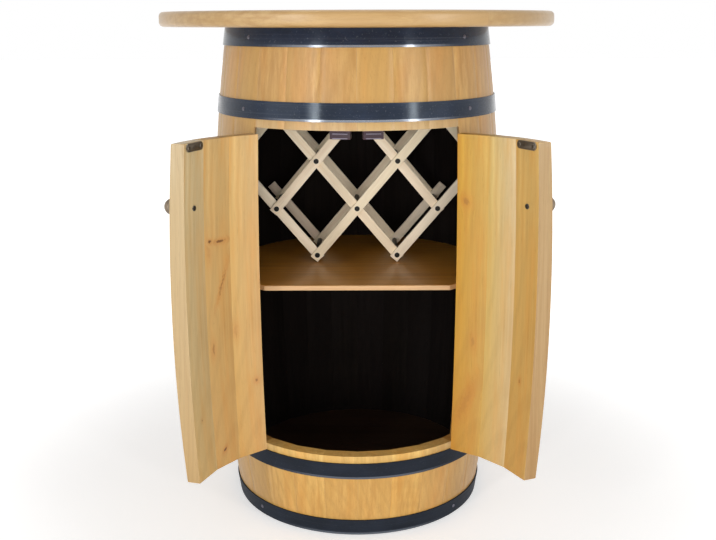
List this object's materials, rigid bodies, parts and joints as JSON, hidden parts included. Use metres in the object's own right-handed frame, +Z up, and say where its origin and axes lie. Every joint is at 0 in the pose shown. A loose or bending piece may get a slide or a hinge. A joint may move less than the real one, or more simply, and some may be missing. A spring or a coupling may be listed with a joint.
{
  "type": "barrel bar cabinet",
  "caption": "Barrel-shaped drinks cabinet with a round tabletop, curved staved doors opening outwards, a crossed-slat bottle rack on a shelf and a floor for standing bottles.",
  "frame": {"origin": "on the floor, on the barrel's axis: the centre of the ring of stave ends that it stands on", "axes": "+Z up along the barrel's axis, -Y towards the doorway, +X to the right as seen from the doorway"},
  "size_m": [0.64, 0.6553, 0.8333],
  "materials": {
    "stave_oak": "lacquered oak with a satin sheen",
    "door_oak": "lacquered oak with a satin sheen, dark stained on the barrel's inner wall",
    "head_oak": "dark stained boards",
    "tabletop_oak": "lacquered edge-glued boards",
    "shelf_oak": "lacquered",
    "rack_wood": "pale, bare and matte",
    "hoop_steel": "dark blue-grey, satin",
    "dark_steel": "dark, satin",
    "bright_steel": "bright zinc",
    "grey_steel": "brushed grey-brown",
    "catch_plastic": "dark brown"
  },
  "bodies": {
    "cabinet": {"stave_01": "stave_oak", "stave_02": "stave_oak", "stave_03": "stave_oak", "stave_04": "stave_oak", "stave_05": "stave_oak", "stave_06": "stave_oak", "stave_07": "stave_oak", "stave_08": "stave_oak", "stave_09": "stave_oak", "stave_10": "stave_oak", "stave_11": "stave_oak", "stave_12": "stave_oak", "stave_13": "stave_oak", "stave_14": "stave_oak", "stave_15": "stave_oak", "stave_16": "stave_oak", "stave_17": "stave_oak", "stave_18": "stave_oak", "stave_19": "stave_oak", "stave_20": "stave_oak", "upper_short_staves": "stave_oak", "lower_short_staves": "stave_oak", "bottom_head": "head_oak", "top_head": "head_oak", "hoop_bottom": "hoop_steel", "hoop_lower": "hoop_steel", "hoop_upper": "hoop_steel", "hoop_top": "hoop_steel", "tabletop": "tabletop_oak", "tabletop_bearer": "head_oak", "shelf": "shelf_oak", "right_shelf_rail": "head_oak", "left_shelf_rail": "head_oak", "rack_front_lattice_and_rods": "rack_wood", "rack_back_lattice": "rack_wood", "left_catch": "catch_plastic", "right_catch": "catch_plastic", "catch_rail": "head_oak", "left_lower_hinge_fixed_leaf": "dark_steel", "left_lower_hinge_pin": "bright_steel", "left_upper_hinge_fixed_leaf": "dark_steel", "left_upper_hinge_pin": "bright_steel", "right_lower_hinge_fixed_leaf": "dark_steel", "right_lower_hinge_pin": "bright_steel", "right_upper_hinge_fixed_leaf": "dark_steel", "right_upper_hinge_pin": "bright_steel"},
    "left_door": {"left_door_stave_1": "door_oak", "left_door_stave_2": "door_oak", "left_door_stave_3": "door_oak", "left_lower_hinge_door_leaf": "dark_steel", "left_upper_hinge_door_leaf": "dark_steel", "left_knob": "grey_steel", "left_strike_plate": "grey_steel"},
    "right_door": {"right_door_stave_1": "door_oak", "right_door_stave_2": "door_oak", "right_door_stave_3": "door_oak", "right_lower_hinge_door_leaf": "dark_steel", "right_upper_hinge_door_leaf": "dark_steel", "right_knob": "grey_steel", "right_strike_plate": "grey_steel"}
  },
  "joints": [
    {"name": "left_door_hinge", "type": "hinge", "parent": "cabinet", "child": "left_door", "pos_m": [-0.16412, -0.18526, 0.405], "axis": [0, 0, -1], "range_deg": [-105.5, 24.5]},
    {"name": "right_door_hinge", "type": "hinge", "parent": "cabinet", "child": "right_door", "pos_m": [0.16412, -0.18526, 0.405], "axis": [0, 0, 1], "range_deg": [-111, 19]}
  ]
}
